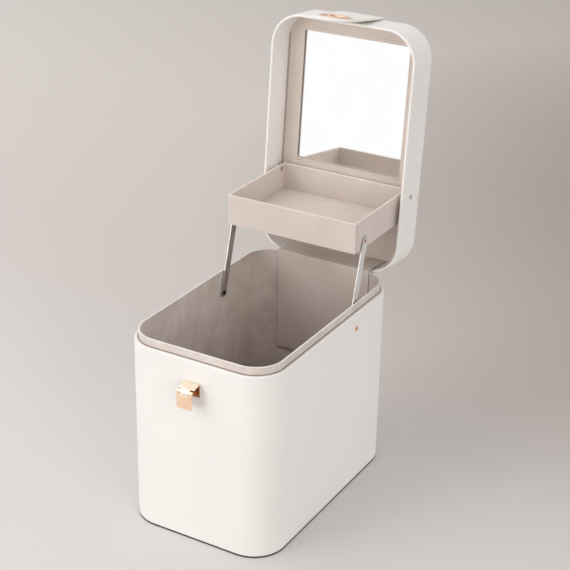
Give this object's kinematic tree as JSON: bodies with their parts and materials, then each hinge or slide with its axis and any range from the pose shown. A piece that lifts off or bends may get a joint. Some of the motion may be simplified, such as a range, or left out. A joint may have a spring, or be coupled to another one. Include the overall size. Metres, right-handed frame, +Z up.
{
  "type": "makeup storage case",
  "caption": "Upright box case with a hinged mirror lid, a tray that lifts out level as the lid opens, a bracket lock with strap, and a carry handle.",
  "frame": {"origin": "middle of the flat underside of the base cover, on the surface that the case stands on", "axes": "+Z up, along the height of the opened case; +X to the right of a person facing the lock, across the narrow side; +Y from the lock to the hinge. The case is stored open, with the lid on its stop."},
  "size_m": [0.182, 0.3918, 0.5141],
  "materials": {
    "white_covering": "fine-grained covering on board, satin",
    "white_leather": "smooth leather, satin",
    "taupe_lining": "brushed lining cloth on board",
    "tray_lining": "brushed lining cloth",
    "dark_lining": "brushed lining cloth",
    "base_board": "textured board",
    "mirror": "polished",
    "hinge_steel": "satin nickel",
    "arm_steel": "satin nickel",
    "spacer_plastic": "moulded",
    "rose_gold": "polished, rose-gold plated"
  },
  "bodies": {
    "case": {"case_shell": "white_covering", "base_cover": "base_board", "case_liner": "taupe_lining", "floor_pad": "dark_lining", "hinge_leaf_case": "hinge_steel", "hinge_rivets_case": "hinge_steel", "hinge_pin": "hinge_steel", "hinge_flap_case": "taupe_lining", "hinge_flap_bridge": "taupe_lining", "arm_screws_case": "rose_gold", "arm_washers_case": "arm_steel", "lock_bracket": "rose_gold", "lock_pin": "rose_gold", "lock_rivets": "rose_gold"},
    "lid": {"lid_shell": "white_covering", "mirror_panel": "taupe_lining", "mirror_glass": "mirror", "hinge_leaf_lid": "hinge_steel", "hinge_rivets_lid": "hinge_steel", "hinge_flap_lid": "taupe_lining", "lid_pivot_screws": "arm_steel", "lid_pivot_spacers": "spacer_plastic", "strap_root": "white_leather", "strap_rivets": "rose_gold", "handle_mounts": "rose_gold", "handle_screws": "rose_gold"},
    "tray": {"tray_shell": "taupe_lining", "tray_pad": "tray_lining", "arm_screws_tray": "arm_steel", "arm_washers_tray": "arm_steel"},
    "arm_left": {"arm_left": "arm_steel"},
    "arm_right": {"arm_right": "arm_steel"},
    "lock_flap": {"lock_flap": "rose_gold"},
    "strap": {"strap_tab": "white_leather", "eyelet_front": "rose_gold", "eyelet_back": "rose_gold"},
    "handle": {"handle_caps": "rose_gold", "handle_grip": "white_leather"}
  },
  "joints": [
    {"name": "lid_hinge", "type": "hinge", "parent": "case", "child": "lid", "pos_m": [0, 0.1422, 0.2199], "axis": [1, 0, 0], "range_deg": [0, 94.8], "deforming": ["hinge_flap_bridge"]},
    {"name": "tray_pivot", "type": "hinge", "parent": "lid", "child": "tray", "pos_m": [0, 0.1687, 0.3127], "axis": [1, 0, 0], "range_deg": [-94.8, 0]},
    {"name": "arm_left_pivot", "type": "hinge", "parent": "case", "child": "arm_left", "pos_m": [-0.0837, 0.0477, 0.1986], "axis": [1, 0, 0], "range_deg": [0, 94.8]},
    {"name": "arm_right_pivot", "type": "hinge", "parent": "case", "child": "arm_right", "pos_m": [0.0837, 0.0477, 0.1986], "axis": [1, 0, 0], "range_deg": [0, 94.8]},
    {"name": "lock_flap_pivot", "type": "hinge", "parent": "case", "child": "lock_flap", "pos_m": [0, -0.1536, 0.1883], "axis": [-1, 0, 0], "range_deg": [0, 95]},
    {"name": "strap_swing", "type": "hinge", "parent": "lid", "child": "strap", "pos_m": [0, 0.20392, 0.49962], "axis": [-1, 0, 0], "range_deg": [0, 75]},
    {"name": "handle_swing", "type": "hinge", "parent": "lid", "child": "handle", "pos_m": [0, 0.20452, 0.35737], "axis": [0, 0.0837, 0.9965], "range_deg": [-90, 90]}
  ],
  "couplings": [
    {"joint": "tray_pivot", "follows": "lid_hinge", "ratio": -1},
    {"joint": "arm_left_pivot", "follows": "lid_hinge", "ratio": 1},
    {"joint": "arm_right_pivot", "follows": "lid_hinge", "ratio": 1}
  ]
}
